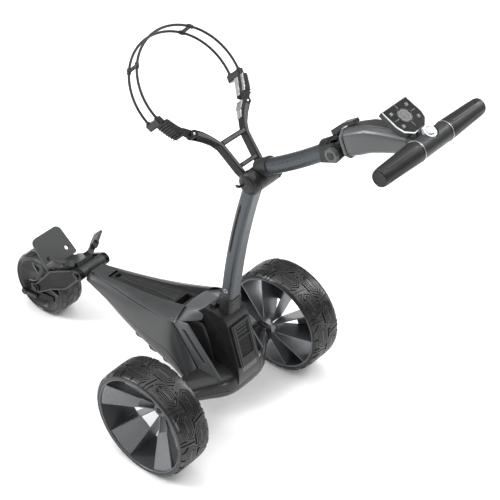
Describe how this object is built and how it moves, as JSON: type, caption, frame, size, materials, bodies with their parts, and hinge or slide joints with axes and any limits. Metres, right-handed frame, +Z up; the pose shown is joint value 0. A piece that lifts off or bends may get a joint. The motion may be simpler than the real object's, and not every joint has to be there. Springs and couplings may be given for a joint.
{
  "type": "electric golf trolley",
  "caption": "Three-wheeled electric golf trolley with a folding mast, bag cradle, elastic strap, control handle and powered rear axle.",
  "frame": {"origin": "middle of the trolley's footprint on the ground", "axes": "+Z up, -Y is the driving direction, +X is the trolley's left side"},
  "size_m": [0.592, 1.297, 1.0909],
  "materials": {
    "shell_black": "satin moulded shell",
    "shell_graphite": "satin graphite paint",
    "cover_graphite": "satin moulding",
    "battery_case": "fine texture",
    "wheel_paint": "satin graphite",
    "tyre_rubber": "matte rubber",
    "mast_paint": "satin graphite paint",
    "black_plastic": "fine texture",
    "grip_rubber": "soft matte",
    "elastic_cord": "smooth elastic",
    "steel": "turned",
    "gear_brass": "cut",
    "cast_case": "cast",
    "silver_trim": "polished",
    "display_glass": "glossy",
    "board_green": "solder mask"
  },
  "bodies": {
    "chassis": {"chassis_tub": "shell_black", "top_cover": "cover_graphite", "mast_tower": "shell_black", "rear_panel": "black_plastic", "side_strut_left": "shell_graphite", "side_strut_right": "shell_graphite", "neck_bracket": "shell_graphite", "axle_fairing": "shell_black", "gearbox_case": "cast_case", "gearbox_cover": "cast_case", "motor_can": "steel", "axle_tubes": "steel", "axle_bearings": "steel", "controller_board": "board_green", "battery_socket": "black_plastic", "power_cable": "black_plastic", "fold_pins": "steel"},
    "battery_pack": {"battery": "battery_case"},
    "front_section": {"front_fork": "black_plastic", "bag_base": "shell_graphite", "front_axle": "steel"},
    "front_wheel": {"front_rim": "wheel_paint", "front_tyre": "tyre_rubber", "front_bearings": "steel"},
    "lower_arm_l": {"lower_arm_left": "shell_graphite"},
    "lower_arm_r": {"lower_arm_right": "shell_graphite"},
    "tracking": {"tracking_lever": "black_plastic"},
    "wheel_l": {"rear_rim_left": "wheel_paint", "rear_tyre_left": "tyre_rubber", "wheel_clutch_left": "steel"},
    "wheel_r": {"rear_rim_right": "wheel_paint", "rear_tyre_right": "tyre_rubber", "wheel_clutch_right": "steel"},
    "button_l": {"wheel_button_left": "black_plastic"},
    "button_r": {"wheel_button_right": "black_plastic"},
    "axle": {"drive_axle": "steel", "drive_gear": "gear_brass"},
    "motor_rotor": {"motor_pinion": "steel"},
    "mast": {"mast_tube": "mast_paint", "mast_foot": "black_plastic", "hinge_lower": "black_plastic", "bag_bracket": "shell_graphite", "strap_cords": "elastic_cord", "strap_spacers": "black_plastic", "arm_pins": "steel"},
    "upper_arm_l": {"upper_arm_left": "black_plastic"},
    "upper_arm_r": {"upper_arm_right": "black_plastic"},
    "shaft": {"shaft_tube": "mast_paint", "hinge_upper": "shell_graphite", "clamp_head": "black_plastic"},
    "hinge_knob": {"hinge_knob": "grip_rubber"},
    "handle": {"handle_neck": "shell_graphite", "handle_bar": "shell_graphite", "hand_grips": "grip_rubber", "console": "black_plastic", "display": "display_glass"},
    "clamp_lever": {"clamp_lever": "black_plastic"},
    "handle_knob": {"handle_knob": "shell_graphite"},
    "dial": {"speed_dial": "silver_trim"},
    "button_dial": {"dial_button": "silver_trim"}
  },
  "joints": [
    {"name": "front_fold", "type": "hinge", "parent": "chassis", "child": "front_section", "pos_m": [0, -0.381, 0.223], "axis": [1, 0, 0], "range_deg": [0, 100]},
    {"name": "front_wheel_spin", "type": "hinge", "parent": "front_section", "child": "front_wheel", "pos_m": [0, -0.556, 0.093], "axis": [1, 0, 0], "continuous": true},
    {"name": "lower_arm_left_swing", "type": "hinge", "parent": "front_section", "child": "lower_arm_l", "pos_m": [0.035, -0.426, 0.226], "axis": [0, 0.7071, 0.7071], "range_deg": [-10, 30]},
    {"name": "lower_arm_right_swing", "type": "hinge", "parent": "front_section", "child": "lower_arm_r", "pos_m": [-0.035, -0.426, 0.226], "axis": [0, 0.7071, 0.7071], "range_deg": [-30, 10]},
    {"name": "tracking_turn", "type": "hinge", "parent": "front_section", "child": "tracking", "pos_m": [0, -0.6, 0.06], "axis": [1, 0, 0], "range_deg": [-20, 5]},
    {"name": "axle_spin", "type": "hinge", "parent": "chassis", "child": "axle", "pos_m": [0, 0.068, 0.145], "axis": [1, 0, 0], "continuous": true},
    {"name": "motor_spin", "type": "hinge", "parent": "chassis", "child": "motor_rotor", "pos_m": [0, 0.1129, 0.148], "axis": [1, 0, 0], "continuous": true},
    {"name": "wheel_left_spin", "type": "hinge", "parent": "chassis", "child": "wheel_l", "pos_m": [0, 0.068, 0.145], "axis": [1, 0, 0], "continuous": true},
    {"name": "wheel_right_spin", "type": "hinge", "parent": "chassis", "child": "wheel_r", "pos_m": [0, 0.068, 0.145], "axis": [1, 0, 0], "continuous": true},
    {"name": "button_left_press", "type": "slide", "parent": "wheel_l", "child": "button_l", "axis": [-1, 0, 0], "range_m": [0, 0.004], "stiffness_N_per_m": 400, "springref_m": -0.002},
    {"name": "button_right_press", "type": "slide", "parent": "wheel_r", "child": "button_r", "axis": [1, 0, 0], "range_m": [0, 0.004], "stiffness_N_per_m": 400, "springref_m": -0.002},
    {"name": "battery_lift", "type": "slide", "parent": "chassis", "child": "battery_pack", "axis": [0, -0.1788, 0.9839], "range_m": [0, 0.06]},
    {"name": "mast_fold", "type": "hinge", "parent": "chassis", "child": "mast", "pos_m": [0, 0.066, 0.343], "axis": [1, 0, 0], "range_deg": [0, 80]},
    {"name": "upper_arm_left_swing", "type": "hinge", "parent": "mast", "child": "upper_arm_l", "pos_m": [0.089, 0.08569, 0.88031], "axis": [0, 0.7071, 0.7071], "range_deg": [0, 20], "deforming": ["strap_cords"]},
    {"name": "upper_arm_right_swing", "type": "hinge", "parent": "mast", "child": "upper_arm_r", "pos_m": [-0.089, 0.08569, 0.88031], "axis": [0, 0.7071, 0.7071], "range_deg": [-20, 0]},
    {"name": "shaft_fold", "type": "hinge", "parent": "mast", "child": "shaft", "pos_m": [0, 0.196, 0.77], "axis": [-1, 0, 0], "range_deg": [0, 110]},
    {"name": "hinge_knob_turn", "type": "hinge", "parent": "mast", "child": "hinge_knob", "pos_m": [0, 0.196, 0.77], "axis": [1, 0, 0], "range_deg": [0, 90]},
    {"name": "handle_tilt", "type": "hinge", "parent": "shaft", "child": "handle", "pos_m": [0, 0.413, 0.936], "axis": [1, 0, 0], "range_deg": [-20, 0]},
    {"name": "clamp_lever_lift", "type": "hinge", "parent": "shaft", "child": "clamp_lever", "pos_m": [0, 0.4, 0.968], "axis": [1, 0, 0], "range_deg": [0, 80]},
    {"name": "handle_knob_turn", "type": "hinge", "parent": "shaft", "child": "handle_knob", "pos_m": [0, 0.413, 0.936], "axis": [1, 0, 0], "range_deg": [0, 90]},
    {"name": "dial_turn", "type": "hinge", "parent": "handle", "child": "dial", "pos_m": [0, 0.6175, 1.058], "axis": [0, 0.4131, 0.9107], "continuous": true},
    {"name": "dial_press", "type": "slide", "parent": "handle", "child": "button_dial", "axis": [0, -0.4131, -0.9107], "range_m": [0, 0.002], "stiffness_N_per_m": 300, "springref_m": -0.002}
  ],
  "couplings": [
    {"joint": "motor_spin", "follows": "axle_spin", "ratio": -4}
  ]
}
